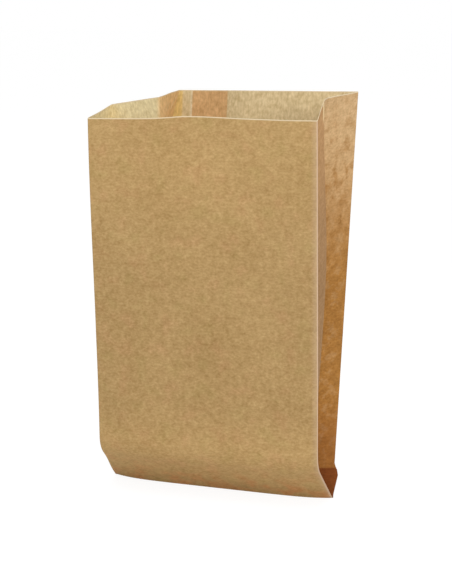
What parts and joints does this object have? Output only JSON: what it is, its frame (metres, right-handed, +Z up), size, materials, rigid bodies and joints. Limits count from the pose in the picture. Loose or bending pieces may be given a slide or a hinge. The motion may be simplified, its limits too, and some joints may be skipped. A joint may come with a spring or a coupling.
{
  "type": "paper lunch bag",
  "caption": "Brown kraft paper bag with side gussets, a pasted pinch bottom and a lap seam up the back, standing open as a wedge on its foot fold.",
  "frame": {"origin": "under the middle of the bag's box, on the level of the foot fold that it stands on", "axes": "+Z up towards the open mouth, -Y out of the front panel, +X towards the bag's right side as seen from the front"},
  "size_m": [0.1816, 0.0932, 0.3009],
  "materials": {
    "kraft_paper": "matt, uncoated brown kraft"
  },
  "bodies": {
    "root": {"paper_bag": "kraft_paper"}
  },
  "joints": []
}
